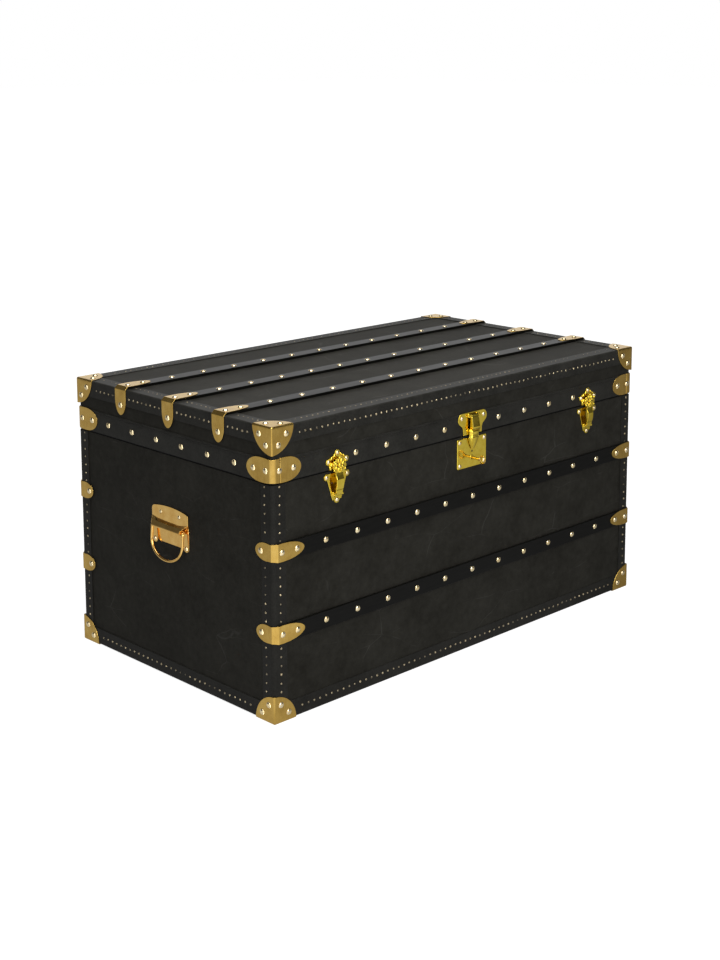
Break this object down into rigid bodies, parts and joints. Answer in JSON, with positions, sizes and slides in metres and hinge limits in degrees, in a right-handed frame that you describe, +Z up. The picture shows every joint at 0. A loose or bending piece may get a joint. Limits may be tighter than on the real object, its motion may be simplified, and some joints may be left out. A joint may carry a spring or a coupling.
{
  "type": "steamer trunk",
  "caption": "Flat-top travel trunk in black leather with wooden slats, brass caps, clips and nails, a hinged lid, draw latches, a hasp lock with key and swinging end handles.",
  "frame": {"origin": "on the floor, under the middle of the box, on the middle runner's underside", "axes": "+X along the front to the right, -Y out of the front, +Z up"},
  "size_m": [1.0184, 0.6103, 0.5309],
  "materials": {
    "plywood": "bare",
    "lining_cloth": "woven cloth",
    "black_leather": "satin, finely pebbled",
    "binding_leather": "smooth satin",
    "black_slat": "gloss black paint",
    "aged_brass": "satin, aged",
    "bright_brass": "polished",
    "steel": "plain"
  },
  "bodies": {
    "base": {"back_lower_slat": "black_slat", "back_slat_clips": "aged_brass", "back_upper_slat": "black_slat", "base_back_panel": "plywood", "base_bottom_binding": "binding_leather", "base_bottom_cover": "black_leather", "base_bottom_panel": "plywood", "base_corner_bindings": "binding_leather", "base_corner_caps": "aged_brass", "base_front_panel": "plywood", "base_leather": "black_leather", "base_left_panel": "plywood", "base_lining": "lining_cloth", "base_right_panel": "plywood", "base_slat_nails": "aged_brass", "base_trim_nails": "aged_brass", "bottom_runners": "black_slat", "closing_lip": "plywood", "front_lower_slat": "black_slat", "front_slat_clips": "aged_brass", "front_upper_slat": "black_slat", "hardware_nails": "aged_brass", "hinge_base_leaves": "aged_brass", "hinge_pins": "steel", "latch_pins": "steel", "left_handle_plate": "aged_brass", "left_latch_plate": "bright_brass", "lock_case": "steel", "lock_plate": "bright_brass", "right_handle_plate": "aged_brass", "right_latch_plate": "bright_brass"},
    "lid": {"hasp_pin": "steel", "hasp_plate": "bright_brass", "hinge_lid_leaves": "aged_brass", "latch_catches": "bright_brass", "lid_back_rim": "plywood", "lid_band": "binding_leather", "lid_corner_caps": "aged_brass", "lid_corner_clips": "aged_brass", "lid_front_rim": "plywood", "lid_hardware_nails": "aged_brass", "lid_leather": "black_leather", "lid_left_rim": "plywood", "lid_lining": "lining_cloth", "lid_nails": "aged_brass", "lid_right_rim": "plywood", "lid_slat_clips": "aged_brass", "lid_slats": "black_slat", "lid_top_binding": "binding_leather", "lid_top_cover": "black_leather", "lid_top_panel": "plywood", "lid_trim_nails": "aged_brass"},
    "left_handle": {"left_handle_ring": "aged_brass"},
    "right_handle": {"right_handle_ring": "aged_brass"},
    "left_latch": {"left_latch_lever": "bright_brass"},
    "right_latch": {"right_latch_lever": "bright_brass"},
    "key": {"key": "bright_brass"},
    "bolt": {"lock_bolt": "steel"},
    "hasp": {"hasp": "bright_brass"}
  },
  "joints": [
    {"name": "lid_hinge", "type": "hinge", "parent": "base", "child": "lid", "pos_m": [0, 0.28655, 0.4247], "axis": [-1, 0, 0], "range_deg": [0, 100]},
    {"name": "left_latch_lever", "type": "hinge", "parent": "base", "child": "left_latch", "pos_m": [-0.35, -0.28725, 0.381], "axis": [1, 0, 0], "range_deg": [0, 150]},
    {"name": "right_latch_lever", "type": "hinge", "parent": "base", "child": "right_latch", "pos_m": [0.35, -0.28725, 0.381], "axis": [1, 0, 0], "range_deg": [0, 150]},
    {"name": "hasp_swing", "type": "hinge", "parent": "lid", "child": "hasp", "pos_m": [0, -0.28915, 0.462], "axis": [-1, 0, 0], "range_deg": [0, 150]},
    {"name": "key_turn", "type": "hinge", "parent": "base", "child": "key", "pos_m": [0, -0.28225, 0.379], "axis": [0, 1, 0], "range_deg": [0, 180]},
    {"name": "bolt_slide", "type": "slide", "parent": "base", "child": "bolt", "axis": [1, 0, 0], "range_m": [0, 0.008]},
    {"name": "left_handle_swing", "type": "hinge", "parent": "base", "child": "left_handle", "pos_m": [-0.5045, 0, 0.288], "axis": [0, 1, 0], "range_deg": [0, 110]},
    {"name": "right_handle_swing", "type": "hinge", "parent": "base", "child": "right_handle", "pos_m": [0.5045, 0, 0.288], "axis": [0, -1, 0], "range_deg": [0, 110]}
  ],
  "couplings": [
    {"joint": "bolt_slide", "follows": "key_turn", "m_per_rad": 0.0025465}
  ]
}
